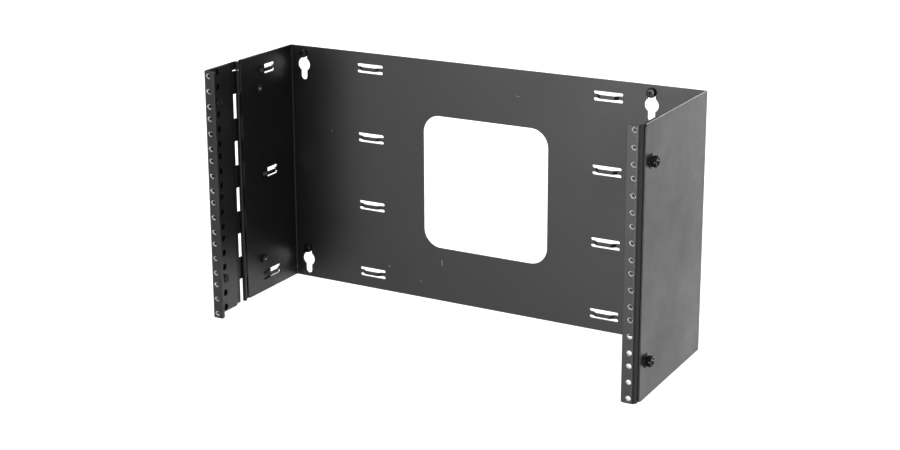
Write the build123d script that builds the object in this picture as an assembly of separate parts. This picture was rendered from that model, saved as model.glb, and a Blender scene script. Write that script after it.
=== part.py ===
from build123d import *
import os

# Hinged wall mount rack, in millimetres.
# X runs to the right, Y into the wall and Z up; the room is at -Y.
# The origin is the centre of the face that lies on the wall.

# The equipment standard: rack units with their holes in two columns.
units = 6
holes_per_unit = 3
first_hole = 6.35
hole_step = 15.875
hole_spacing = 465.1

# Overall.
overall_depth = 158.75
height_clearance = 3.2

# Rails: L sections of thick sheet.
flange_width = 14.4
hole_margin = 7.15
rail_stock = 3.0
rail_bend_inside = 2.0
rail_side_depth = 41.0
rail_corner = 1.5
thread_diameter = 5.5
side_hole = 7.1
side_hole_depth = 20.6

# The bracket, folded from one sheet: back panel, right wall and the rear of the left wall.
sheet = 1.5
bend_inside = 1.0
right_wall_setback = 6.0
left_wall_gap = 6.5
free_corner = 3.0

# Cable cut-out in the back panel.
cutout_width = 146.0
cutout_height = 145.0
cutout_corner = 19.5

# Keyholes that hang from either end. The insets put the columns one stud spacing apart.
keyhole_left_inset = 17.55
keyhole_right_inset = 57.15
keyhole_margin = 20.625
keyhole_circle = 15.0
keyhole_slot = 7.94
keyhole_reach = 12.7

# Cable tie points: a strap pressed out of the sheet between two slots that run on past its feet.
tie_spacing = 276.2
tie_margin = 17.45
tie_rows = 4
tie_length = 31.75
tie_strap = 3.9
tie_slot = 3.1
tie_rise = 3.2
tie_crown = 15.5
tie_ramp = 4.0
wall_tie_depth = 50.0
wall_tie_rows = 3

# Continuous hinge: both leaves lie on the outer faces, and the barrel rolls inwards.
leaf = 1.07
leaf_width = 50.8
hinge_setback = 57.15
knuckle_pitch = 25.4
knuckle_gap = 0.4
pin_diameter = 2.3
pin_fit = 0.05
fixed_notch = 5.6
moving_notch = 6.35
notch_relief = 0.45
end_relief = 1.2
roll_seam = 0.3

# Blind rivets of the leaves, level with the innermost holes of the first and last units.
rivet_shank = 7.0
rivet_fit = 0.05
rivet_head = 12.0
rivet_head_height = 1.8
rivet_bulb = 8.8
rivet_bulb_height = 3.0
mandrel = 3.2
mandrel_proud = 0.5
mandrel_well = 4.4
mandrel_well_depth = 1.6

# Slotted hexagon washer head screws that hold the right rail.
rail_screw = 6.35
rail_screw_fit = 0.05
rail_screw_hex = 9.53
rail_screw_hex_height = 4.9
rail_screw_top = 8.8
rail_screw_washer = 14.2
rail_screw_washer_height = 1.3
rail_screw_slot = 1.5
rail_screw_slot_depth = 1.6
rail_screw_tail = 3.0

# Pan head screws in the keyholes.
wall_screw = 5.5
wall_screw_head = 10.0
wall_screw_head_height = 4.2
wall_screw_crown_height = 1.9
wall_screw_crown_reach = 2.3
wall_screw_recess = 4.6
wall_screw_recess_width = 1.1
wall_screw_recess_depth = 1.8

# Places worked out from the sizes above.
unit = 2 * first_hole + (holes_per_unit - 1) * hole_step
height = units * unit - height_clearance
rail_inner = hole_spacing / 2 - hole_margin
rail_outer = rail_inner + flange_width
right_face = rail_outer + sheet
leaf_face = rail_outer + leaf
front = -overall_depth
bore = pin_diameter / 2 + pin_fit
barrel = bore + leaf
hinge_x = barrel - leaf_face
hinge_y = front + hinge_setback
rivet_y = front + side_hole_depth
rivet_reach = hinge_y - rivet_y
hole_heights = [
    (units / 2 - u) * unit - first_hole - n * hole_step
    for u in range(units)
    for n in range(holes_per_unit)
]
rivet_heights = (hole_heights[holes_per_unit - 1], hole_heights[-holes_per_unit])
low_end = (Align.CENTER, Align.CENTER, Align.MIN)


def spread(count, margin):
    """Heights of evenly spaced rows, the outer ones a margin from the sheet's ends."""
    step = (height - 2 * margin) / (count - 1)
    return [margin - height / 2 + row * step for row in range(count)]


def cross_drill(radius, length, x, y, z):
    """A cutter for a hole along X."""
    return Pos(x, y, z) * Rot(0, 90, 0) * Cylinder(radius, length)


def folded(outside, inside, outside_radius, inside_radius):
    """The section of a folded strip, from its outer and inner lines, with rounded bends."""
    face = make_face(Polyline(*outside, *reversed(inside), close=True))
    for line, radius in ((outside, outside_radius), (inside, inside_radius)):
        for corner in line[1:-1]:
            vertex = face.vertices().sort_by_distance(corner)[0]
            face = fillet(vertex, radius)
    return face


def tie_point():
    """The cutter and the strap of one tie point, on the XZ plane, pressed towards -Y."""
    foot = tie_crown / 2 + tie_ramp
    slot_height = (tie_strap + tie_slot) / 2
    mouth = Rectangle(2 * foot, 2 * slot_height)
    for z in (-slot_height, slot_height):
        mouth += Pos(0, z) * SlotOverall(tie_length, tie_slot)
    window = extrude(Plane.XZ * mouth, 2 * sheet, both=True)
    right = [(tie_crown / 2, -tie_rise), (foot, 0), (foot + sheet, 0)]
    near = [(-x, y) for x, y in reversed(right)] + right
    far = [(x, y - sheet) for x, y in near]
    strap = extrude(folded(near, far, sheet / 2, sheet / 2), tie_strap / 2, both=True)
    return window, strap


def keyhole_cutter():
    """A round hole with a slot above and below it."""
    shape = Circle(keyhole_circle / 2) + SlotCenterToCenter(2 * keyhole_reach, keyhole_slot, rotation=90)
    return extrude(Plane.XZ * shape, 2 * sheet, both=True)


def keyhole_places():
    """Left upper, left lower, right upper and right lower."""
    columns = (keyhole_left_inset - rail_outer, right_face - keyhole_right_inset)
    return [(x, z) for x in columns for z in reversed(spread(2, keyhole_margin))]


def build_bracket():
    left, left_front, right_front = -rail_outer, hinge_y + left_wall_gap, front + right_wall_setback
    outside = [(left, left_front), (left, 0), (right_face, 0), (right_face, right_front)]
    inside = [
        (left + sheet, left_front),
        (left + sheet, -sheet),
        (right_face - sheet, -sheet),
        (right_face - sheet, right_front),
    ]
    section = folded(outside, inside, bend_inside + sheet, bend_inside)
    body = extrude(section, height / 2, both=True)
    front_corners = body.edges().filter_by(Axis.X).sort_by(SortBy.LENGTH)[:4]
    body = fillet(front_corners, free_corner)

    opening = RectangleRounded(cutout_width, cutout_height, cutout_corner)
    body -= extrude(Plane.XZ * opening, 2 * sheet, both=True)
    for x, z in keyhole_places():
        body -= Pos(x, 0, z) * keyhole_cutter()

    window, strap = tie_point()
    for x in (-tie_spacing / 2, tie_spacing / 2):
        for z in spread(tie_rows, tie_margin):
            body = body - Pos(x, 0, z) * window + Pos(x, 0, z) * strap
    for z in spread(wall_tie_rows, tie_margin):
        spot = Pos(left, -wall_tie_depth, z) * Rot(0, 0, 90)
        body = body - spot * window + spot * strap

    for z in rivet_heights:
        body -= cross_drill(rivet_shank / 2 + rivet_fit, 4 * sheet, left, hinge_y + rivet_reach, z)
        body -= cross_drill(rail_screw / 2 + rail_screw_fit, 4 * sheet, right_face, rivet_y, z)
    return body


def build_rail(mirrored, side_holes):
    """One L section rail; side_holes gives the radius of its side hole at each height."""
    rear = front + rail_side_depth
    outside = [(rail_inner, front), (rail_outer, front), (rail_outer, rear)]
    inside = [
        (rail_inner, front + rail_stock),
        (rail_outer - rail_stock, front + rail_stock),
        (rail_outer - rail_stock, rear),
    ]
    section = folded(outside, inside, rail_bend_inside + rail_stock, rail_bend_inside)
    body = extrude(section, height / 2, both=True)
    body = fillet(body.edges().filter_by(Axis.Y).sort_by(Axis.X)[:2], rail_corner)
    body = fillet(body.edges().filter_by(Axis.X).sort_by(Axis.Y)[-2:], rail_corner)

    thread = Rot(90, 0, 0) * Cylinder(thread_diameter / 2, 3 * rail_stock)
    for z in hole_heights:
        body -= Pos(hole_spacing / 2, front, z) * thread
        body -= cross_drill(side_holes(z), 3 * rail_stock, rail_outer, rivet_y, z)
    return mirror(body, Plane.YZ) if mirrored else body


def build_right_rail():
    """The screws bite in two of the side holes, which are tapped and so smaller."""
    tapped = rail_screw / 2 + rail_screw_fit
    return build_rail(False, lambda z: tapped if z in rivet_heights else side_hole / 2)


def build_left_rail():
    riveted = rivet_shank / 2 + rivet_fit
    return build_rail(True, lambda z: riveted if z in rivet_heights else side_hole / 2)


def knuckles():
    """Start, end and owner of each knuckle from the bottom; what is left at the top is a short one."""
    ends = [-height / 2 + number * knuckle_pitch for number in range(int(height // knuckle_pitch) + 1)]
    spans = [(low, high, number % 2 == 0) for number, (low, high) in enumerate(zip(ends, ends[1:]))]
    if height / 2 - ends[-1] > barrel:
        spans.append((ends[-1], height / 2, False))
    return spans


def build_leaf(is_fixed):
    """A hinge leaf with its rolled knuckles, notched where the other leaf has its own."""
    direction = 1 if is_fixed else -1
    notch = fixed_notch if is_fixed else moving_notch
    middle_x = leaf / 2 - leaf_face
    body = Pos(middle_x, hinge_y + direction * leaf_width / 2, 0) * Box(leaf, leaf_width, height)
    across = body.edges().filter_by(Axis.X).sort_by(Axis.Y)
    body = fillet(across[-2:] if is_fixed else across[:2], free_corner)

    seam = Pos(leaf - leaf_face + roll_seam / 2, hinge_y + direction * barrel / 2, 0)
    seam *= Box(roll_seam, barrel, 2 * height)
    spans = knuckles()
    for low, high, fixed_owns in spans:
        length, middle = high - low, (low + high) / 2
        if fixed_owns == is_fixed:
            roll = Cylinder(barrel, length - knuckle_gap) - Cylinder(bore, 2 * length)
            place = Pos(hinge_x, hinge_y, middle)
            body = body - place * Cylinder(bore, 2 * length) + (place * roll - seam)
        else:
            window = Box(3 * leaf, notch, length + 2 * notch_relief)
            body -= Pos(middle_x, hinge_y + direction * notch / 2, middle) * window

    # Two knuckles of one leaf in a row are parted by a narrow slot.
    for (_, _, below), (low, _, above) in zip(spans, spans[1:]):
        if below == above == is_fixed:
            slot = Box(4 * barrel, notch + barrel, end_relief)
            body -= Pos(hinge_x, hinge_y + direction * (notch - barrel) / 2, low) * slot
    for z in rivet_heights:
        hole_y = hinge_y + direction * rivet_reach
        body -= cross_drill(rivet_shank / 2 + rivet_fit, 4 * leaf, -leaf_face, hole_y, z)
    return body


def build_pin():
    return Pos(hinge_x, hinge_y, 0) * Cylinder(pin_diameter / 2, height)


def build_rivet(grip):
    """A set blind rivet along +X: head below zero, bulb and broken mandrel beyond the grip."""
    end = grip + rivet_bulb_height
    well = end - mandrel_well_depth
    tip = end + mandrel_proud
    section = Polyline(
        (-rivet_head_height, 0),
        (-rivet_head_height, rivet_head / 4),
        (-rivet_head_height / 3, rivet_head / 2),
        (0, rivet_head / 2),
        (0, rivet_shank / 2),
        (grip, rivet_shank / 2),
        (grip, rivet_bulb / 2),
        (grip + rivet_bulb_height / 2, rivet_bulb / 2),
        (end, (rivet_bulb + mandrel_well) / 4),
        (end, mandrel_well / 2),
        (well, mandrel_well / 2),
        (well, mandrel / 2),
        (tip, mandrel / 2),
        (tip, 0),
        close=True,
    )
    return revolve(make_face(section), Axis.X)


def build_rail_screw():
    """A slotted hexagon washer head screw: its head points along +X and its seat is at zero."""
    washer = Cylinder(rail_screw_washer / 2, rail_screw_washer_height, align=low_end)
    washer = chamfer(washer.edges().sort_by(Axis.Z)[-1], rail_screw_washer_height / 2)
    hexagon = extrude(RegularPolygon(rail_screw_hex / 2, 6, major_radius=False), rail_screw_hex_height)
    top = rail_screw_top / 2
    corners = Cone(top + rail_screw_hex_height, top, rail_screw_hex_height, align=low_end)
    head = washer + Pos(0, 0, rail_screw_washer_height) * (hexagon & corners)
    head_top = rail_screw_washer_height + rail_screw_hex_height
    slot = Pos(0, 0, head_top) * Box(2 * rail_screw_hex, rail_screw_slot, 2 * rail_screw_slot_depth)
    length = sheet + rail_stock + rail_screw_tail
    shank = Pos(0, 0, -length) * Cylinder(rail_screw / 2, length, align=low_end)
    shank = chamfer(shank.edges().sort_by(Axis.Z)[0], rail_screw / 10)
    return Rot(0, 90, 0) * (head - slot + shank)


def build_wall_screw():
    """A pan head screw: its head points along -Y, its seat is at zero and its shank ends at the wall."""
    head = Cylinder(wall_screw_head / 2, wall_screw_head_height, align=low_end)
    rim = head.edges().sort_by(Axis.Z)[-1]
    side = head.faces().filter_by(GeomType.CYLINDER)[0]
    head = chamfer(rim, wall_screw_crown_height, wall_screw_crown_reach, reference=side)
    blade = Pos(0, 0, wall_screw_head_height) * Box(
        wall_screw_recess, wall_screw_recess_width, 2 * wall_screw_recess_depth
    )
    shank = Rot(180, 0, 0) * Cylinder(wall_screw / 2, sheet, align=low_end)
    return Rot(90, 0, 0) * (head - blade - Rot(0, 0, 90) * blade + shank)


def build_all():
    nodes = {
        "bracket": build_bracket(),
        "right_rail": build_right_rail(),
        "left_rail": build_left_rail(),
        "fixed_leaf": build_leaf(True),
        "moving_leaf": build_leaf(False),
        "hinge_pin": build_pin(),
    }
    wall_rivet, rail_rivet = build_rivet(leaf + sheet), build_rivet(leaf + rail_stock)
    screw = build_rail_screw()
    for word, z in zip(("upper", "lower"), rivet_heights):
        nodes[f"wall_rivet_{word}"] = Pos(-leaf_face, hinge_y + rivet_reach, z) * wall_rivet
        nodes[f"rail_rivet_{word}"] = Pos(-leaf_face, rivet_y, z) * rail_rivet
        nodes[f"rail_screw_{word}"] = Pos(right_face, rivet_y, z) * screw
    wall_screw_body = build_wall_screw()
    words = ("left_upper", "left_lower", "right_upper", "right_lower")
    for word, (x, z) in zip(words, keyhole_places()):
        nodes[f"wall_screw_{word}"] = Pos(x, -sheet, z + keyhole_reach) * wall_screw_body
    return nodes


os.makedirs("parts", exist_ok=True)
for name, shape in build_all().items():
    solids = shape.solids()
    print(name, len(solids), "solid", round(sum(s.volume for s in solids), 1), "mm3")
    export_step(shape if len(solids) > 1 else solids[0], f"parts/{name}.step")
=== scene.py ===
import bmesh
import bpy
import math
import random
from mathutils import Matrix, Vector


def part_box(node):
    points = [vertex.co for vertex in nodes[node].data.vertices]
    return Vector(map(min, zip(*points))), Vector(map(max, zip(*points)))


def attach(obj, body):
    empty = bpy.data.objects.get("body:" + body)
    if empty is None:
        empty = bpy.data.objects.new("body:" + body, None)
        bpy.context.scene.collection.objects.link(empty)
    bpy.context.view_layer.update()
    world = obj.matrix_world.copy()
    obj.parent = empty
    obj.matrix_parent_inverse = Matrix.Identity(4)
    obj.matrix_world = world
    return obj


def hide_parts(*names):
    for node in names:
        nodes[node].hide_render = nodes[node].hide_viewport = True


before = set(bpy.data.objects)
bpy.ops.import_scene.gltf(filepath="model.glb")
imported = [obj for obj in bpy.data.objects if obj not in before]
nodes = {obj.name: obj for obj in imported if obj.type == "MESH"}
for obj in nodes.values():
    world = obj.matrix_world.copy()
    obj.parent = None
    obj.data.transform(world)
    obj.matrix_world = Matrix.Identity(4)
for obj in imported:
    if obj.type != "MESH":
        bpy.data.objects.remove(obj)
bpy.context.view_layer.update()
print("frame loaded:", len(nodes), "nodes")

# Lengths are in metres unless a note says mm, in the frame's own axes: X right, Y into the wall, Z up.
mm = 0.001


# small helpers for shader trees

def addNode(tree, kind, place=(0, 0), **values):
    # a value whose name starts with in_ goes to the input of that name
    node = tree.nodes.new(kind)
    node.location = place
    for key, value in values.items():
        if key.startswith("in_"):
            node.inputs[key[3:].replace("_", " ")].default_value = value
        else:
            setattr(node, key, value)
    return node


def addMath(tree, operation, first, second, place=(0, 0)):
    node = addNode(tree, "ShaderNodeMath", place, operation=operation)
    for socket, value in zip(node.inputs, (first, second)):
        if isinstance(value, (int, float)):
            socket.default_value = value
        else:
            tree.links.new(value, socket)
    return node.outputs[0]


def addRange(tree, value, low, high, place=(0, 0), smooth=False):
    # 0 at low and 1 at high, which may be the smaller number
    node = addNode(tree, "ShaderNodeMapRange", place, in_From_Min=low, in_From_Max=high)
    if smooth:
        node.interpolation_type = "SMOOTHSTEP"
    tree.links.new(value, node.inputs["Value"])
    return node.outputs["Result"]


def addNoise(tree, vector, scale, detail, roughness, place):
    node = addNode(tree, "ShaderNodeTexNoise", place, in_Detail=detail, in_Roughness=roughness)
    tree.links.new(vector, node.inputs["Vector"])
    if isinstance(scale, (int, float)):
        node.inputs["Scale"].default_value = scale
    else:
        tree.links.new(scale, node.inputs["Scale"])
    return node.outputs["Fac"]


def addCoordinates(tree, place):
    # where on its object the shaded point is
    return addNode(tree, "ShaderNodeTexCoord", place).outputs["Object"]


def addOffset(tree, coord, place):
    # the way from a place to the shaded point
    away = addNode(tree, "ShaderNodeVectorMath", (-800, 0), operation="SUBTRACT")
    tree.links.new(coord, away.inputs[0])
    tree.links.new(place, away.inputs[1])
    return away.outputs[0]


def newGroup(name, inputs, outputs):
    group = bpy.data.node_groups.new(name, "ShaderNodeTree")
    for label, kind, value in inputs:
        socket = group.interface.new_socket(name=label, in_out="INPUT", socket_type=kind)
        if value is not None:
            socket.default_value = value
    for label, kind in outputs:
        group.interface.new_socket(name=label, in_out="OUTPUT", socket_type=kind)
    return group, addNode(group, "NodeGroupInput", (-1100, 0)), addNode(group, "NodeGroupOutput", (900, 0))


# worn edges, on the rivets also a painted glint: the turn is the cosine between the rounded and the flat
# normal, from no wear to full
edgeWearAndGlint = {"radius": 0.6 * mm, "grain": 260.0, "samples": 6, "turn": (0.996, 0.86), "broken": (0.38, 0.62)}


def buildEdgeWearAndGlintGroup():
    # a ragged mask along rounded edges, and the rounded normal itself
    group, start, end = newGroup(
        "edgeWearAndGlint",
        [("Radius", "NodeSocketFloat", edgeWearAndGlint["radius"]), ("Grain", "NodeSocketFloat", edgeWearAndGlint["grain"])],
        [("Mask", "NodeSocketFloat"), ("Normal", "NodeSocketVector")],
    )
    coord = addCoordinates(group, (-900, -200))
    bevel = addNode(group, "ShaderNodeBevel", (-700, 200), samples=edgeWearAndGlint["samples"])
    group.links.new(start.outputs["Radius"], bevel.inputs["Radius"])
    flat = addNode(group, "ShaderNodeNewGeometry", (-700, 0))
    turn = addNode(group, "ShaderNodeVectorMath", (-500, 150), operation="DOT_PRODUCT")
    group.links.new(bevel.outputs["Normal"], turn.inputs[0])
    group.links.new(flat.outputs["Normal"], turn.inputs[1])
    edge = addRange(group, turn.outputs["Value"], *edgeWearAndGlint["turn"], (-300, 150))
    ragged = addNoise(group, coord, start.outputs["Grain"], detail=3.0, roughness=0.6, place=(-500, -150))
    broken = addRange(group, ragged, *edgeWearAndGlint["broken"], (-300, -150))
    group.links.new(addMath(group, "MULTIPLY", edge, broken, (0, 0)), end.inputs["Mask"])
    group.links.new(bevel.outputs["Normal"], end.inputs["Normal"])
    return group


# orange peel: size of its waves, share of the fine grain in the height, and how much finer the grain is
coatPeel = {"size": 1.1 * mm, "fine": 0.35, "finer": 4.2}


def buildPeelGroup():
    # height of a sprayed and baked coat: fine grain on a slow orange peel
    group, start, end = newGroup(
        "coatPeel",
        [("Size", "NodeSocketFloat", coatPeel["size"]), ("Fine", "NodeSocketFloat", coatPeel["fine"])],
        [("Height", "NodeSocketFloat")],
    )
    coord = addCoordinates(group, (-900, -200))
    scale = addMath(group, "DIVIDE", 1.0, start.outputs["Size"], (-900, 100))
    peel = addNoise(group, coord, scale, detail=1.5, roughness=0.5, place=(-600, 100))
    fineScale = addMath(group, "MULTIPLY", scale, coatPeel["finer"], (-750, -100))
    grain = addNoise(group, coord, fineScale, detail=2.0, roughness=0.6, place=(-600, -150))
    share = addMath(group, "MULTIPLY", grain, start.outputs["Fine"], (-300, -100))
    group.links.new(addMath(group, "ADD", peel, share, (0, 0)), end.inputs["Height"])
    return group


# dust: a speck fades in between these distances from its cell's point, where the cell's value is over rare
dust = {
    "speckScale": 170.0, "speck": (0.11, 0.05), "rare": 0.90,
    "cloudScale": 11.0, "cloud": (0.32, 0.72),
}


def buildDustGroup():
    # sparse pale specks and a soft cloud of tone
    group, start, end = newGroup(
        "dustAndCloud",
        [("Speck Scale", "NodeSocketFloat", dust["speckScale"]),
         ("Cloud Scale", "NodeSocketFloat", dust["cloudScale"])],
        [("Specks", "NodeSocketFloat"), ("Cloud", "NodeSocketFloat")],
    )
    coord = addCoordinates(group, (-900, -200))
    cells = addNode(group, "ShaderNodeTexVoronoi", (-600, 100), in_Randomness=1.0)
    group.links.new(coord, cells.inputs["Vector"])
    group.links.new(start.outputs["Speck Scale"], cells.inputs["Scale"])
    spot = addRange(group, cells.outputs["Distance"], *dust["speck"], (-350, 150))
    rare = addMath(group, "GREATER_THAN", cells.outputs["Color"], dust["rare"], (-350, -50))
    group.links.new(addMath(group, "MULTIPLY", spot, rare, (0, 100)), end.inputs["Specks"])
    cloudScale = start.outputs["Cloud Scale"]
    cloud = addNoise(group, coord, cloudScale, detail=5.0, roughness=0.6, place=(-600, -200))
    group.links.new(addRange(group, cloud, *dust["cloud"], (-350, -250)), end.inputs["Cloud"])
    return group


# scratches: how deep into the sheet the mark reaches, and where it fades, as shares of its half sizes
scratch = {"halfLength": 3.0 * mm, "halfWidth": 0.4 * mm, "reach": 0.8 * mm, "fade": (1.1, 0.7)}


def buildScratchGroup():
    # one short straight mark on a face that looks along Y
    group, start, end = newGroup(
        "scratchMark",
        [("Place", "NodeSocketVector", None), ("Angle", "NodeSocketFloat", 0.0),
         ("Half Length", "NodeSocketFloat", scratch["halfLength"]),
         ("Half Width", "NodeSocketFloat", scratch["halfWidth"])],
        [("Mask", "NodeSocketFloat")],
    )
    away = addOffset(group, addCoordinates(group, (-1000, -200)), start.outputs["Place"])
    turned = addNode(group, "ShaderNodeVectorRotate", (-600, 0), rotation_type="Y_AXIS")
    group.links.new(away, turned.inputs["Vector"])
    group.links.new(start.outputs["Angle"], turned.inputs["Angle"])
    axes = addNode(group, "ShaderNodeSeparateXYZ", (-400, 0))
    group.links.new(turned.outputs[0], axes.inputs[0])
    spans = (("X", start.outputs["Half Width"]), ("Z", start.outputs["Half Length"]), ("Y", scratch["reach"]))
    mask = 1.0
    for row, (axis, half) in enumerate(spans):
        part = addMath(group, "ABSOLUTE", axes.outputs[axis], 0.0, (-200, -150 * row))
        part = addMath(group, "DIVIDE", part, half, (-50, -150 * row))
        inside = addRange(group, part, *scratch["fade"], (100, -150 * row), smooth=True)
        mask = addMath(group, "MULTIPLY", inside, mask, (300, -150 * row))
    group.links.new(mask, end.inputs["Mask"])
    return group


# rubbed places and painted light patches: where the noise breaks them up, and where they fade, as shares of
# their half sizes
rubAndLightShape = {"grain": 420.0, "amount": 0.5, "broken": (0.42, 0.66), "fade": (1.0, 0.6)}


def buildRubAndLightPatchGroup():
    # the mask of a pale patch in a box along the frame's axes, broken up by fine noise: rubbed paint, and
    # painted highlights and reflections
    group, start, end = newGroup(
        "rubAndLightPatch",
        [("Middle", "NodeSocketVector", None), ("Half Size", "NodeSocketVector", None),
         ("Grain", "NodeSocketFloat", rubAndLightShape["grain"]), ("Amount", "NodeSocketFloat", rubAndLightShape["amount"])],
        [("Mask", "NodeSocketFloat")],
    )
    coord = addCoordinates(group, (-1000, -200))
    share = addNode(group, "ShaderNodeVectorMath", (-600, 0), operation="DIVIDE")
    group.links.new(addOffset(group, coord, start.outputs["Middle"]), share.inputs[0])
    group.links.new(start.outputs["Half Size"], share.inputs[1])
    axes = addNode(group, "ShaderNodeSeparateXYZ", (-400, 0))
    group.links.new(share.outputs[0], axes.inputs[0])
    ragged = addNoise(group, coord, start.outputs["Grain"], detail=4.0, roughness=0.65, place=(-600, -300))
    mask = addRange(group, ragged, *rubAndLightShape["broken"], (-400, -300))
    mask = addMath(group, "MULTIPLY", mask, start.outputs["Amount"], (-200, -300))
    for row, axis in enumerate("XYZ"):
        part = addMath(group, "ABSOLUTE", axes.outputs[axis], 0.0, (-200, -150 * row))
        inside = addRange(group, part, *rubAndLightShape["fade"], (0, -150 * row), smooth=True)
        mask = addMath(group, "MULTIPLY", inside, mask, (200, -150 * row))
    group.links.new(mask, end.inputs["Mask"])
    return group


effects = {
    "edge": buildEdgeWearAndGlintGroup(),
    "rubAndLight": buildRubAndLightPatchGroup(),
    "peel": buildPeelGroup(),
    "dust": buildDustGroup(),
    "scratch": buildScratchGroup(),
}
print("shader groups built")

# painted metal: four coats that differ a little in tone, gloss and wear
coats = {
    "bracketCoat": {
        "color": (0.0068, 0.0068, 0.0071, 1), "cloudy": (0.0098, 0.0098, 0.0101, 1),
        "wornAndGlint": (0.085, 0.085, 0.088, 1), "wearAndGlint": 0.55, "dust": 0.35,
        "roughness": 0.335, "roughSpread": 0.09, "sawnEnds": 0, "specular": 0.62,
        "peelSize": 1.0 * mm, "peelDepth": 0.16, "edgeRadius": 0.55 * mm,
    },
    "railCoat": {
        "color": (0.0085, 0.0085, 0.0088, 1), "cloudy": (0.0125, 0.0125, 0.0128, 1),
        "wornAndGlint": (0.10, 0.10, 0.104, 1), "wearAndGlint": 0.6, "dust": 0.25,
        "roughness": 0.30, "roughSpread": 0.08, "sawnEnds": 0.5, "specular": 0.72,
        "peelSize": 1.2 * mm, "peelDepth": 0.18, "edgeRadius": 0.7 * mm,
    },
    "hingeCoat": {
        "color": (0.0068, 0.0068, 0.0071, 1), "cloudy": (0.010, 0.010, 0.0103, 1),
        "wornAndGlint": (0.11, 0.11, 0.112, 1), "wearAndGlint": 0.75, "dust": 0.35,
        "roughness": 0.315, "roughSpread": 0.10, "sawnEnds": 0, "specular": 0.62,
        "peelSize": 0.9 * mm, "peelDepth": 0.15, "edgeRadius": 0.4 * mm,
    },
    # the rivet coat's pale edges are partly wear and partly a painted glint on the rivet heads
    "rivetCoat": {
        "color": (0.012, 0.012, 0.0125, 1), "cloudy": (0.02, 0.02, 0.021, 1),
        "wornAndGlint": (0.34, 0.34, 0.345, 1), "wearAndGlint": 0.9, "dust": 0.2,
        "roughness": 0.2, "roughSpread": 0.10, "sawnEnds": 0, "specular": 0.7,
        "peelSize": 0.7 * mm, "peelDepth": 0.12, "edgeRadius": 0.35 * mm,
    },
}

# shared by the coats: mottle of the gloss, height of the peel, and how squarely a sawn end faces along Z
paint = {"mottleScale": 85.0, "peelHeight": 0.2 * mm, "sawnFacing": (0.90, 0.98)}

# marks on the room side of the back panel: x and z in mm, angle in degrees from upright,
# half length and half width in mm
panelMarks = {
    "bright": (
        (-51, -89, 4, 3.4, 0.42), (-117, -103, 25, 1.0, 0.55), (-77, -114, -20, 0.9, 0.5),
        (38, 104, 80, 2.2, 0.22), (206, -42, 12, 2.6, 0.2), (-188, 41, -35, 1.8, 0.2),
    ),
    "dark": (144, 62, 0, 0.8, 0.8),
    "face": -1.5 * mm,
    "brightColor": (0.30, 0.30, 0.31, 1),
    "darkColor": (0.001, 0.001, 0.001, 1),
}

# pale patches of the bracket, middle and half size in mm: a painted highlight along the right rear bend,
# then a small pale patch near it, then two painted reflections of the floor at the foot of the left wall
bracketRubsAndPaintedLight = (
    # painted highlight along the rear bend of the right wall
    {"middle": (243, 0, -20), "half": (3.5, 4.5, 150), "grain": 380.0, "amount": 1.0},
    {"middle": (241.3, -12, -85), "half": (0.6, 9, 22), "grain": 300.0, "amount": 0.12},
    # these two are painted reflections of the floor on the foot of the left wall
    {"middle": (-240, -22, -127), "half": (4, 30, 9), "grain": 340.0, "amount": 0.20},
    {"middle": (-240, -88, -112), "half": (4, 10, 22), "grain": 340.0, "amount": 0.12},
)


def newMaterial(name):
    material = bpy.data.materials.new(name)
    material.use_nodes = True
    material.node_tree.nodes.clear()
    return material


def addEffect(tree, effect, place, **values):
    return addNode(tree, "ShaderNodeGroup", place, node_tree=effects[effect], **values)


def mixColor(tree, factor, first, second, place):
    # inputs 6 and 7 and output 2 are the node's colour sockets
    mix = addNode(tree, "ShaderNodeMix", place, data_type="RGBA")
    tree.links.new(factor, mix.inputs["Factor"])
    for socket, value in ((mix.inputs[6], first), (mix.inputs[7], second)):
        if isinstance(value, tuple):
            socket.default_value = value
        else:
            tree.links.new(value, socket)
    return mix.outputs[2]


def addSurface(tree, color, rough, edge, height, strength, distance, **constants):
    # bump over the rounded edges, the shader with its constants, and the output
    bump = addNode(tree, "ShaderNodeBump", (-350, -250), in_Strength=strength, in_Distance=distance)
    tree.links.new(height, bump.inputs["Height"])
    tree.links.new(edge.outputs["Normal"], bump.inputs["Normal"])
    shader = addNode(tree, "ShaderNodeBsdfPrincipled", (0, 0), **constants)
    tree.links.new(color, shader.inputs["Base Color"])
    tree.links.new(rough, shader.inputs["Roughness"])
    tree.links.new(bump.outputs["Normal"], shader.inputs["Normal"])
    output = addNode(tree, "ShaderNodeOutputMaterial", (300, 0))
    tree.links.new(shader.outputs[0], output.inputs["Surface"])


def markMask(tree, mark, row):
    x, z, angle, halfLength, halfWidth = mark
    group = addEffect(
        tree, "scratch", (-900, -400 - 160 * row),
        in_Place=(x * mm, panelMarks["face"], z * mm), in_Angle=math.radians(angle),
        in_Half_Length=halfLength * mm, in_Half_Width=halfWidth * mm,
    )
    return group.outputs["Mask"]


def addPanelMarks(tree, color):
    bright = 0.0
    for row, mark in enumerate(panelMarks["bright"]):
        bright = addMath(tree, "MAXIMUM", markMask(tree, mark, row), bright)
    color = mixColor(tree, bright, color, panelMarks["brightColor"], (-250, 200))
    dark = markMask(tree, panelMarks["dark"], len(panelMarks["bright"]))
    return mixColor(tree, dark, color, panelMarks["darkColor"], (-150, 200))


def addRubsAndPaintedLight(tree, color):
    # pale patches, most of them painted light: a highlight on the rear bend and floor reflections at the left
    # wall's foot
    for row, rubAndLight in enumerate(bracketRubsAndPaintedLight):
        patch = addEffect(
            tree, "rubAndLight", (-900, -1700 - 200 * row),
            in_Middle=[value * mm for value in rubAndLight["middle"]],
            in_Half_Size=[value * mm for value in rubAndLight["half"]],
            in_Grain=rubAndLight["grain"], in_Amount=rubAndLight["amount"],
        )
        place = (-100 + 40 * row, 300)
        color = mixColor(tree, patch.outputs["Mask"], color, panelMarks["brightColor"], place)
    return color


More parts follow.
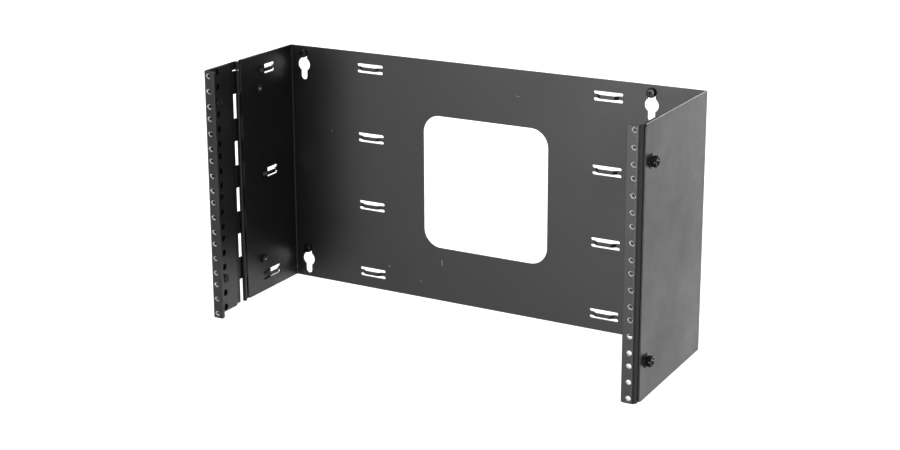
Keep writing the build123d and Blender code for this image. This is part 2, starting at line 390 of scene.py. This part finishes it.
def paintRoughness(tree, coat, cloud):
    # an even gloss, broken by the cloud and by a finer mottle
    rough = addMath(tree, "MULTIPLY", cloud, coat["roughSpread"], (-500, -50))
    rough = addMath(tree, "ADD", rough, coat["roughness"], (-350, -50))
    coord = addCoordinates(tree, (-900, -650))
    mottle = addNoise(tree, coord, paint["mottleScale"], detail=3.0, roughness=0.6, place=(-700, -650))
    mottle = addMath(tree, "MULTIPLY", mottle, coat["roughSpread"], (-500, -650))
    rough = addMath(tree, "ADD", rough, mottle, (-300, -100))
    if coat["sawnEnds"]:
        # the ends sawn square across Z are coarser than the drawn faces
        flat = addNode(tree, "ShaderNodeNewGeometry", (-900, -500))
        axes = addNode(tree, "ShaderNodeSeparateXYZ", (-700, -500))
        tree.links.new(flat.outputs["True Normal"], axes.inputs[0])
        upright = addMath(tree, "ABSOLUTE", axes.outputs["Z"], 0.0, (-550, -500))
        sawn = addRange(tree, upright, *paint["sawnFacing"], (-400, -500))
        sawn = addMath(tree, "MULTIPLY", sawn, coat["sawnEnds"], (-250, -500))
        rough = addMath(tree, "ADD", rough, sawn, (-200, -50))
    return rough


def paintedMaterial(name, coat, marked=False):
    material = newMaterial(name)
    tree = material.node_tree
    edge = addEffect(tree, "edge", (-900, 300), in_Radius=coat["edgeRadius"])
    peel = addEffect(tree, "peel", (-900, 100), in_Size=coat["peelSize"])
    dirt = addEffect(tree, "dust", (-900, -100))
    color = mixColor(tree, dirt.outputs["Cloud"], coat["color"], coat["cloudy"], (-600, 100))
    specks = addMath(tree, "MULTIPLY", dirt.outputs["Specks"], coat["dust"], (-700, -100))
    # pale edges: wear, and on the rivets also a painted glint
    wearAndGlint = addMath(tree, "MULTIPLY", edge.outputs["Mask"], coat["wearAndGlint"], (-700, 300))
    pale = addMath(tree, "MAXIMUM", specks, wearAndGlint, (-550, 200))
    color = mixColor(tree, pale, color, coat["wornAndGlint"], (-400, 200))
    if marked:
        color = addRubsAndPaintedLight(tree, addPanelMarks(tree, color))
    rough = paintRoughness(tree, coat, dirt.outputs["Cloud"])
    addSurface(
        tree, color, rough, edge, peel.outputs["Height"], coat["peelDepth"], paint["peelHeight"],
        in_Specular_IOR_Level=coat["specular"],
    )
    return material


# bare and blackened metal of the small hardware
metals = {
    "threadSteel": {
        "color": (0.96, 0.96, 0.95, 1), "stain": (0.84, 0.835, 0.82, 1),
        "roughness": 0.36, "metallic": 0.25, "grain": 900.0, "depth": 0.10,
    },
    "pinSteel": {
        "color": (0.42, 0.42, 0.42, 1), "stain": (0.20, 0.195, 0.19, 1),
        "roughness": 0.36, "metallic": 1.0, "grain": 700.0, "depth": 0.12,
    },
    "mandrelSteel": {
        "color": (0.62, 0.62, 0.61, 1), "stain": (0.34, 0.335, 0.33, 1),
        "roughness": 0.34, "metallic": 1.0, "grain": 900.0, "depth": 0.12,
    },
    "screwBlack": {
        "color": (0.026, 0.026, 0.027, 1), "stain": (0.050, 0.050, 0.052, 1),
        "roughness": 0.25, "metallic": 0.7, "grain": 600.0, "depth": 0.10,
    },
}

# shared by the metals: edge radius, size and spread of the stain, what it adds to the roughness
stained = {
    "edgeRadius": 0.18 * mm, "scale": 240.0, "spread": (0.4, 0.7), "rough": 0.12, "grainHeight": 0.1 * mm,
}


def metalMaterial(name, metal):
    material = newMaterial(name)
    tree = material.node_tree
    coord = addCoordinates(tree, (-900, 0))
    edge = addEffect(tree, "edge", (-700, 300), in_Radius=stained["edgeRadius"])
    stain = addNoise(tree, coord, stained["scale"], detail=4.0, roughness=0.6, place=(-700, 100))
    stain = addRange(tree, stain, *stained["spread"], (-500, 100))
    tone = addMath(tree, "MAXIMUM", stain, edge.outputs["Mask"], (-350, 200))
    color = mixColor(tree, tone, metal["color"], metal["stain"], (-200, 200))
    rough = addMath(tree, "MULTIPLY", stain, stained["rough"], (-350, 0))
    rough = addMath(tree, "ADD", rough, metal["roughness"], (-200, 0))
    grain = addNoise(tree, coord, metal["grain"], detail=3.0, roughness=0.6, place=(-700, -200))
    addSurface(
        tree, color, rough, edge, grain, metal["depth"], stained["grainHeight"],
        in_Metallic=metal["metallic"],
    )
    return material


finishes = {name: paintedMaterial(name, coat, name == "bracketCoat") for name, coat in coats.items()}
finishes.update({name: metalMaterial(name, metal) for name, metal in metals.items()})
nodeFinishes = {
    "bracket": "bracketCoat", "right_rail": "railCoat", "left_rail": "railCoat",
    "fixed_leaf": "hingeCoat", "moving_leaf": "hingeCoat", "hinge_pin": "pinSteel",
}


def giveFinish(piece, finish):
    # every slot of a piece takes the one finish
    if not piece.material_slots:
        piece.data.materials.append(finish)
    for slot in piece.material_slots:
        slot.material = finish


for name, finishName in nodeFinishes.items():
    giveFinish(nodes[name], finishes[finishName])
print("finishes given to the sheet metal")


# small hardware, made as meshes

def finishPiece(name, mesh, finish, body, replaced=()):
    piece = bpy.data.objects.new(name, mesh)
    bpy.context.collection.objects.link(piece)
    giveFinish(piece, finishes[finish])
    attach(piece, body)
    if replaced:
        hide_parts(*replaced)


def makeData(name, mesh, outward=True):
    # turns a bmesh into mesh data and frees it; outward makes all its faces look out
    if outward:
        bmesh.ops.recalc_face_normals(mesh, faces=mesh.faces)
    data = bpy.data.meshes.new(name)
    mesh.to_mesh(data)
    mesh.free()
    return data


def addRing(mesh, along, radius, segments):
    # vertices in a circle round the X axis
    angles = [2 * math.pi * step / segments for step in range(segments)]
    return [mesh.verts.new((along, radius * math.cos(a), radius * math.sin(a))) for a in angles]


def joinRings(mesh, rings, segments):
    # faces between neighbouring rings, of which one with a single vertex is a tip on the axis
    for low, high in zip(rings, rings[1:]):
        for step in range(segments):
            after = (step + 1) % segments
            corners = [
                low[step % len(low)], low[after % len(low)],
                high[after % len(high)], high[step % len(high)],
            ]
            mesh.faces.new(dict.fromkeys(corners))


def turnedMesh(name, profile, segments):
    # a closed turned solid from (along, radius) points whose first and last lie on the axis
    mesh = bmesh.new()
    rings = []
    for along, radius in profile:
        if radius == 0:
            rings.append([mesh.verts.new((along, 0, 0))])
        else:
            rings.append(addRing(mesh, along, radius, segments))
    joinRings(mesh, rings, segments)
    return makeData(name, mesh)


def softenMesh(data, degrees):
    # smooth shading, kept sharp at edges over the angle
    for polygon in data.polygons:
        polygon.use_smooth = True
    data.set_sharp_from_angle(angle=math.radians(degrees))


def arc(centre, radius, first, last, steps):
    # (along, radius) points on an arc; angles in degrees from the axis
    turns = [math.radians(first + (last - first) * step / steps) for step in range(steps + 1)]
    return [(centre[0] + radius * math.cos(t), centre[1] + radius * math.sin(t)) for t in turns]


def middle(low, high, axis):
    return (low[axis] + high[axis]) / 2


# half widths of a thread's ridge at its root and its crest, as shares of the pitch
threadForm = {"root": 0.47, "crest": 0.09}


def threadRidge(mesh, thread, length, place):
    # one helical ridge along +X from zero, as a closed strip with a flat crest
    root, crest, pitch = thread["root"], thread["crest"], thread["pitch"]
    rootHalf, crestHalf = threadForm["root"] * pitch, threadForm["crest"] * pitch
    count = int(thread["segments"] * (length - 2 * rootHalf) / pitch)
    section = ((root, -rootHalf), (crest, -crestHalf), (crest, crestHalf), (root, rootHalf))
    loops = []
    for step in range(count + 1):
        angle = 2 * math.pi * step / thread["segments"]
        along = rootHalf + pitch * step / thread["segments"]
        points = [Vector((along + off, r * math.cos(angle), r * math.sin(angle))) for r, off in section]
        loops.append([mesh.verts.new(place @ point) for point in points])
    for first, second in zip(loops, loops[1:]):
        for side in range(len(section)):
            after = (side + 1) % len(section)
            mesh.faces.new((first[side], first[after], second[after], second[side]))
    mesh.faces.new(reversed(loops[0]))
    mesh.faces.new(loops[-1])


# threads of the equipment holes, cut after painting and so left bright
holeThreads = {
    "root": 2.745 * mm, "crest": 2.1 * mm, "pitch": 1.058 * mm, "segments": 26, "sharp": 40,
    "columns": 465.1 * mm, "stock": 3.0 * mm, "unit": 44.45 * mm,
    "holes": (6.35 * mm, 22.225 * mm, 38.1 * mm), "units": 6,
}


def holeHeights():
    thread = holeThreads
    tops = [(thread["units"] / 2 - unit) * thread["unit"] for unit in range(thread["units"])]
    return [top - hole for top in tops for hole in thread["holes"]]


def buildRailThreads(name, node, body, side):
    thread = holeThreads
    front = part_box(node)[0][1]
    mesh = bmesh.new()
    alongY = Matrix.Rotation(math.pi / 2, 4, "Z")      # +X of the ridge becomes +Y
    for z in holeHeights():
        centre = Matrix.Translation((side * thread["columns"] / 2, front, z)) @ alongY
        threadRidge(mesh, thread, thread["stock"], centre)
    data = makeData(name, mesh)
    softenMesh(data, thread["sharp"])
    finishPiece(name, data, "threadSteel", body)


buildRailThreads("rightRailThreads", "right_rail", "frame", 1)
buildRailThreads("leftRailThreads", "left_rail", "swing_rail", -1)
print("threads cut in", 2 * len(holeHeights()), "holes")

# blind rivets: a low dome outside, and a bulb round the broken mandrel inside
rivet = {
    "shank": 3.5 * mm, "headRadius": 6.0 * mm, "headHeight": 1.8 * mm, "lip": 0.35 * mm,
    "bulbRadius": 4.4 * mm, "bulbHeight": 3.0 * mm, "bulbEdge": 0.3 * mm, "bulbRise": 0.4 * mm,
    "wellRadius": 2.2 * mm, "wellDepth": 1.6 * mm, "mandrel": 1.6 * mm, "mandrelProud": 0.5 * mm,
    "segments": 48, "mandrelSegments": 24, "domeSteps": 8, "rollSteps": 5, "crownSteps": 8, "sharp": 32,
}


def rivetProfile(grip):
    r = rivet
    domeDrop = r["headHeight"] - r["lip"]
    domeRadius = (r["headRadius"] ** 2 + domeDrop ** 2) / (2 * domeDrop)
    spread = math.degrees(math.asin(r["headRadius"] / domeRadius))
    domeCentre = (-r["lip"] - domeDrop + domeRadius, 0)
    dome = arc(domeCentre, domeRadius, 180, 180 - spread, r["domeSteps"])
    dome[0] = (dome[0][0], 0)      # the tip, put exactly on the axis
    end = grip + r["bulbHeight"]
    floor = end - r["wellDepth"]
    roll = (r["bulbRadius"] - r["wellRadius"]) / 2
    lip = arc((end - roll, r["bulbRadius"] - roll), roll, 90, 0, r["rollSteps"])[:-1]
    lip += arc((end - roll, r["wellRadius"] + roll), roll, 0, -90, r["rollSteps"])
    grippedPart = [
        (0, r["headRadius"]), (0, r["shank"]), (grip, r["shank"]),
        (grip, r["bulbRadius"] - r["bulbEdge"]), (grip + r["bulbRise"], r["bulbRadius"]),
    ]
    return dome + grippedPart + lip + [(floor, r["wellRadius"]), (floor, 0)]


def mandrelProfile(grip):
    # the broken end of the mandrel, rounded over and standing on the floor of the well
    r = rivet
    end = grip + r["bulbHeight"]
    floor = end - r["wellDepth"]
    crown = arc((end + r["mandrelProud"] - r["mandrel"], 0), r["mandrel"], 90, 0, r["crownSteps"])
    return [(floor, 0), (floor, r["mandrel"])] + crown


def buildRivet(name, node, body, mandrelFinish):
    low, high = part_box(node)
    seat = low[0] + rivet["headHeight"]
    grip = high[0] - seat - rivet["bulbHeight"] - rivet["mandrelProud"]
    place = Matrix.Translation((seat, middle(low, high, 1), middle(low, high, 2)))
    data = turnedMesh(name, rivetProfile(grip), rivet["segments"])
    mandrel = turnedMesh(f"{name}Mandrel", mandrelProfile(grip), rivet["mandrelSegments"])
    for mesh in (data, mandrel):
        mesh.transform(place)
        softenMesh(mesh, rivet["sharp"])
    finishPiece(name, data, "rivetCoat", body, (node,))
    finishPiece(f"{name}Mandrel", mandrel, mandrelFinish, body)


for row in ("Upper", "Lower"):
    # the photograph shows bare mandrels in the wall and painted ones in the rail
    buildRivet(f"wallRivet{row}", f"wall_rivet_{row.lower()}", "frame", "mandrelSteel")
    buildRivet(f"railRivet{row}", f"rail_rivet_{row.lower()}", "swing_rail", "rivetCoat")
print("rivets set")


def cutMesh(data, cutter):
    # takes the cutter's shape out of the mesh
    body = bpy.data.objects.new("cutBody", data)
    tool = bpy.data.objects.new("cutTool", cutter)
    for item in (body, tool):
        bpy.context.collection.objects.link(item)
    change = body.modifiers.new("cut", "BOOLEAN")
    change.operation, change.object, change.solver = "DIFFERENCE", tool, "EXACT"
    bpy.context.view_layer.update()
    result = bpy.data.meshes.new_from_object(body.evaluated_get(bpy.context.evaluated_depsgraph_get()))
    for item in (body, tool):
        bpy.data.objects.remove(item)
    return result


# cutters start this far above the face that they cut
cutOverrun = 1.0 * mm


def barCutter(length, width, depth, taper, top, turn):
    # a bar across the X axis, turned about it by turn in degrees, that cuts from top down by depth;
    # its floor is smaller by taper than its upper end
    mesh = bmesh.new()
    above, floor = top + cutOverrun, top - depth
    sides = ((-1, -1), (1, -1), (1, 1), (-1, 1))
    upper = [mesh.verts.new((above, sx * length / 2, sy * width / 2)) for sx, sy in sides]
    lower = [mesh.verts.new((floor, sx * taper * length / 2, sy * taper * width / 2)) for sx, sy in sides]
    mesh.faces.new(upper)
    mesh.faces.new(reversed(lower))
    for side in range(len(sides)):
        after = (side + 1) % len(sides)
        mesh.faces.new((upper[after], upper[side], lower[side], lower[after]))
    turned = Matrix.Rotation(math.radians(turn), 3, "X")
    bmesh.ops.rotate(mesh, verts=mesh.verts, cent=(0, 0, 0), matrix=turned)
    return makeData("barCutter", mesh, outward=False)


def joinMeshes(name, parts):
    mesh = bmesh.new()
    for part in parts:
        mesh.from_mesh(part)
    return makeData(name, mesh, outward=False)


# slotted hexagon washer head screws of the right rail, with a dished end face: the chamfer is its drop
# per unit of radius, the slot's cutter is longer than the head, and rimEnd and turns are in degrees
railScrew = {
    "hex": 9.53 * mm, "hexHeight": 4.9 * mm, "face": 8.6 * mm, "chamfer": 0.62, "sunk": 0.1 * mm,
    "hexSteps": 36, "dish": 3.95 * mm, "dishFloor": 3.25 * mm, "dishDepth": 1.15 * mm,
    "washer": 7.1 * mm, "washerHeight": 1.3 * mm, "washerRound": 0.35 * mm, "washerSlope": 1.9 * mm,
    "rimEnd": 15, "rimSteps": 4, "slot": 1.9 * mm, "slotDepth": 1.9 * mm, "slotCutter": 28.59 * mm,
    "shank": 2.62 * mm, "tail": 7.5 * mm, "point": 0.6 * mm, "pointShare": 0.8, "shankSegments": 32,
    "thread": {"root": 2.6 * mm, "crest": 3.17 * mm, "pitch": 1.27 * mm, "segments": 28},
    "threadStart": 0.4 * mm, "threadShort": 0.5 * mm,
    "segments": 48, "sharp": 28, "turns": {"Upper": 3, "Lower": -5},
}


def hexagonHead(screw):
    # six flats up to a turned chamfer, and a dish in the end face
    flat, faceRadius, steps = screw["hex"] / 2, screw["face"] / 2, screw["hexSteps"]
    base, top = screw["washerHeight"] - screw["sunk"], screw["washerHeight"] + screw["hexHeight"]
    mesh = bmesh.new()
    rings = []
    for level in ("base", "chamfer"):
        ring = []
        for step in range(steps):
            angle = 2 * math.pi * step / steps
            inSixth = (angle % (math.pi / 3)) - math.pi / 6
            reach = flat / math.cos(inSixth)
            along = base if level == "base" else top - screw["chamfer"] * (reach - faceRadius)
            ring.append(mesh.verts.new((along, reach * math.cos(angle), reach * math.sin(angle))))
        rings.append(ring)
    endRings = ((top, faceRadius), (top, screw["dish"]), (top - screw["dishDepth"], screw["dishFloor"]))
    rings += [addRing(mesh, along, reach, steps) for along, reach in endRings]
    joinRings(mesh, rings, steps)
    mesh.faces.new(reversed(rings[0]))
    mesh.faces.new(rings[-1])
    return makeData("hexagonHead", mesh)


def screwWasher(screw):
    # a rounded rim and a slope up to the hexagon
    edge, radius, height = screw["washerRound"], screw["washer"], screw["washerHeight"]
    rim = arc((edge, radius - edge), edge, 90, screw["rimEnd"], screw["rimSteps"])
    profile = [(0, 0), (0, radius)] + rim + [(height, radius - screw["washerSlope"]), (height, 0)]
    return turnedMesh("washer", profile, screw["segments"])


def screwShank(screw):
    # the shank below the seat, with its point and its thread
    length, radius = screw["tail"], screw["shank"]
    profile = [
        (-length, 0), (-length, screw["pointShare"] * radius), (-length + screw["point"], radius),
        (0, radius), (0, 0),
    ]
    shank = turnedMesh("shank", profile, screw["shankSegments"])
    ridge = bmesh.new()
    start = Matrix.Translation((-length + screw["threadStart"], 0, 0))
    threadRidge(ridge, screw["thread"], length - screw["threadShort"], start)
    return shank, makeData("ridge", ridge)


def buildRailScrew(name, node, turn):
    screw = railScrew
    low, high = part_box(node)
    top = screw["washerHeight"] + screw["hexHeight"]
    slot = barCutter(screw["slotCutter"], screw["slot"], screw["slotDepth"], 1.0, top, 0)
    head = cutMesh(hexagonHead(screw), slot)
    data = joinMeshes(name, (head, screwWasher(screw), *screwShank(screw)))
    place = Matrix.Translation((high[0] - top, middle(low, high, 1), middle(low, high, 2)))
    data.transform(place @ Matrix.Rotation(math.radians(turn), 4, "X"))
    softenMesh(data, screw["sharp"])
    finishPiece(name, data, "screwBlack", "frame", (node,))


for row, turn in railScrew["turns"].items():
    buildRailScrew(f"railScrew{row}", f"rail_screw_{row.lower()}", turn)
print("rail screws driven")

# pan head screws in the keyholes, with a cross recess; turns are in degrees
wallScrew = {
    "headRadius": 5.0 * mm, "headHeight": 4.2 * mm, "skirt": 1.5 * mm, "underEdge": 0.25 * mm,
    "shoulder": 0.24, "crownSteps": 7, "shank": 2.75 * mm, "reach": 1.5 * mm,
    "recess": 4.7 * mm, "recessWidth": 1.4 * mm, "recessDepth": 2.6 * mm, "recessTaper": 0.62,
    "segments": 56, "sharp": 30, "seed": 7, "turns": (8, 80),
}


def wallScrewProfile(screw):
    # the shank, a small edge under the head, the upright skirt and the crown, which draws in at its shoulder
    radius, edge, steps = screw["headRadius"], screw["underEdge"], screw["crownSteps"]
    rise = screw["headHeight"] - screw["skirt"]
    crown = []
    for step in range(steps + 1):
        angle = math.pi / 2 * step / steps
        narrowing = screw["shoulder"] * (1 - math.cos(angle))
        crown.append((screw["skirt"] + rise * math.sin(angle), radius * (1 - narrowing)))
    return [
        (-screw["reach"], 0), (-screw["reach"], screw["shank"]), (0, screw["shank"]),
        (0, radius - edge), (edge, radius),
    ] + crown + [(screw["headHeight"], 0)]


def buildWallScrew(name, node, turn):
    screw = wallScrew
    low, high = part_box(node)
    data = turnedMesh(name, wallScrewProfile(screw), screw["segments"])
    for quarter in (0, 90):
        cutter = barCutter(
            screw["recess"], screw["recessWidth"], screw["recessDepth"], screw["recessTaper"],
            screw["headHeight"], quarter,
        )
        data = cutMesh(data, cutter)
    towardsRoom = Matrix.Rotation(-math.pi / 2, 4, "Z")      # +X of the screw becomes -Y
    place = Matrix.Translation((middle(low, high, 0), high[1] - screw["reach"], middle(low, high, 2)))
    data.transform(place @ towardsRoom @ Matrix.Rotation(math.radians(turn), 4, "X"))
    softenMesh(data, screw["sharp"])
    finishPiece(name, data, "screwBlack", "frame", (node,))


random.seed(wallScrew["seed"])
for side in ("Left", "Right"):
    for row in ("Upper", "Lower"):
        turn = random.uniform(*wallScrew["turns"])
        buildWallScrew(f"wallScrew{side}{row}", f"wall_screw_{side.lower()}_{row.lower()}", turn)
print("wall screws driven")

# studio: a white light table as the floor, and a dark dome with soft lights in it
studio = {
    "floorHeight": -0.1325, "floorSize": 9.0, "floorGlow": 0.97,
    "floorColor": (0.92, 0.92, 0.92, 1), "floorRoughness": 0.9,
    "white": (1, 1, 1, 1), "backdrop": 1.0, "domeBase": 0.012,
    # azimuth from +X towards +Y and elevation in degrees, full and no strength in degrees off the aim
    "lobes": (
        # these give the front view its tones
        {"azimuth": 261, "elevation": 0, "full": 3, "none": 23, "strength": 8.2},
        {"azimuth": 264, "elevation": -8, "full": 6, "none": 30, "strength": 0.85},
        {"azimuth": 61, "elevation": -12, "full": 10, "none": 50, "strength": 0.55},
        {"azimuth": 76, "elevation": -12, "full": 8, "none": 30, "strength": 1.35},
        {"azimuth": 300, "elevation": 14, "full": 5, "none": 24, "strength": 1.4},
        {"azimuth": 332, "elevation": -12, "full": 5, "none": 26, "strength": 0.75},
        {"azimuth": 118, "elevation": 24, "full": 5, "none": 20, "strength": 5.0},
        # and these fill the sides, the back, the top and the underside
        {"azimuth": 0, "elevation": -6, "full": 8, "none": 42, "strength": 0.6},
        {"azimuth": 125, "elevation": -10, "full": 8, "none": 40, "strength": 1.1},
        {"azimuth": 180, "elevation": -8, "full": 8, "none": 45, "strength": 1.1},
        {"azimuth": 0, "elevation": 85, "full": 15, "none": 45, "strength": 1.1},
        {"azimuth": 0, "elevation": -85, "full": 30, "none": 52, "strength": 0.5},
    ),
}


def buildFloor():
    size = studio["floorSize"] / 2
    corners = [(-size, -size, 0), (size, -size, 0), (size, size, 0), (-size, size, 0)]
    mesh = bpy.data.meshes.new("studioFloor")
    mesh.from_pydata(corners, [], [(0, 1, 2, 3)])
    floor = bpy.data.objects.new("studioFloor", mesh)
    floor.location = (0, 0, studio["floorHeight"])
    floor.visible_glossy = False      # light and gloss come from the dome alone
    floor.visible_diffuse = False
    bpy.context.collection.objects.link(floor)
    material = bpy.data.materials.new("studioFloorPaint")
    material.use_nodes = True
    shader = material.node_tree.nodes["Principled BSDF"]
    shader.inputs["Base Color"].default_value = studio["floorColor"]
    shader.inputs["Roughness"].default_value = studio["floorRoughness"]
    shader.inputs["Emission Color"].default_value = studio["white"]
    shader.inputs["Emission Strength"].default_value = studio["floorGlow"]
    mesh.materials.append(material)


def aimOf(lobe):
    azimuth, elevation = math.radians(lobe["azimuth"]), math.radians(lobe["elevation"])
    level = math.cos(elevation)
    return math.cos(azimuth) * level, math.sin(azimuth) * level, math.sin(elevation)


def buildDome():
    # the lobes light the object, and the camera sees a plain backdrop
    world = bpy.data.worlds.new("studioDome")
    bpy.context.scene.world = world
    world.use_nodes = True
    tree = world.node_tree
    tree.nodes.clear()
    coord = addNode(tree, "ShaderNodeTexCoord", (-1200, 0))
    total = studio["domeBase"]
    for row, lobe in enumerate(studio["lobes"]):
        facing = addNode(tree, "ShaderNodeVectorMath", (-1000, -200 * row), operation="DOT_PRODUCT")
        facing.inputs[1].default_value = aimOf(lobe)
        tree.links.new(coord.outputs["Generated"], facing.inputs[0])
        low, high = math.cos(math.radians(lobe["none"])), math.cos(math.radians(lobe["full"]))
        glow = addRange(tree, facing.outputs["Value"], low, high, (-800, -200 * row), smooth=True)
        glow = addMath(tree, "MULTIPLY", glow, lobe["strength"], (-600, -200 * row))
        total = addMath(tree, "ADD", glow, total, (-400, -200 * row))
    lit = addNode(tree, "ShaderNodeBackground", (-100, -100), in_Color=studio["white"])
    tree.links.new(total, lit.inputs["Strength"])
    plain = addNode(tree, "ShaderNodeBackground", (-100, 100), in_Color=studio["white"])
    plain.inputs["Strength"].default_value = studio["backdrop"]
    path = addNode(tree, "ShaderNodeLightPath", (-100, 400))
    mix = addNode(tree, "ShaderNodeMixShader", (100, 0))
    tree.links.new(path.outputs["Is Camera Ray"], mix.inputs["Fac"])
    tree.links.new(lit.outputs[0], mix.inputs[1])
    tree.links.new(plain.outputs[0], mix.inputs[2])
    output = addNode(tree, "ShaderNodeOutputWorld", (300, 0))
    tree.links.new(mix.outputs[0], output.inputs["Surface"])


buildFloor()
buildDome()
print("studio lit")

# camera at the photograph's angle: place in metres, angles in radians, pixels of the 900 by 450 image,
# sensor width in mm and clip in metres
view = {
    "place": (0.7896, -1.4937, 0.4933),
    "yaw": 0.5078, "pitch": 0.2519, "roll": -0.0035,
    "focalPixels": 1685.8, "axisPixel": (450.0, 135.0), "imageSize": (900, 450),
    "sensorWidth": 36.0, "clip": (0.05, 50),
}


def buildCamera():
    wide, tall = view["imageSize"]
    data = bpy.data.cameras.new("photoCamera")
    data.sensor_fit = "HORIZONTAL"
    data.sensor_width = view["sensorWidth"]
    data.lens = view["focalPixels"] / wide * view["sensorWidth"]
    data.shift_x = (wide / 2 - view["axisPixel"][0]) / wide
    data.shift_y = (view["axisPixel"][1] - tall / 2) / wide
    data.clip_start, data.clip_end = view["clip"]
    camera = bpy.data.objects.new("photoCamera", data)
    yaw, pitch = view["yaw"], view["pitch"]
    ahead = Vector((-math.sin(yaw) * math.cos(pitch), math.cos(yaw) * math.cos(pitch), -math.sin(pitch)))
    turn = ahead.to_track_quat("-Z", "Y").to_matrix() @ Matrix.Rotation(view["roll"], 3, "Z")
    camera.matrix_world = Matrix.Translation(view["place"]) @ turn.to_4x4()
    bpy.context.collection.objects.link(camera)
    bpy.context.scene.camera = camera


buildCamera()
bpy.context.scene.view_settings.view_transform = "Standard"
print("camera placed")
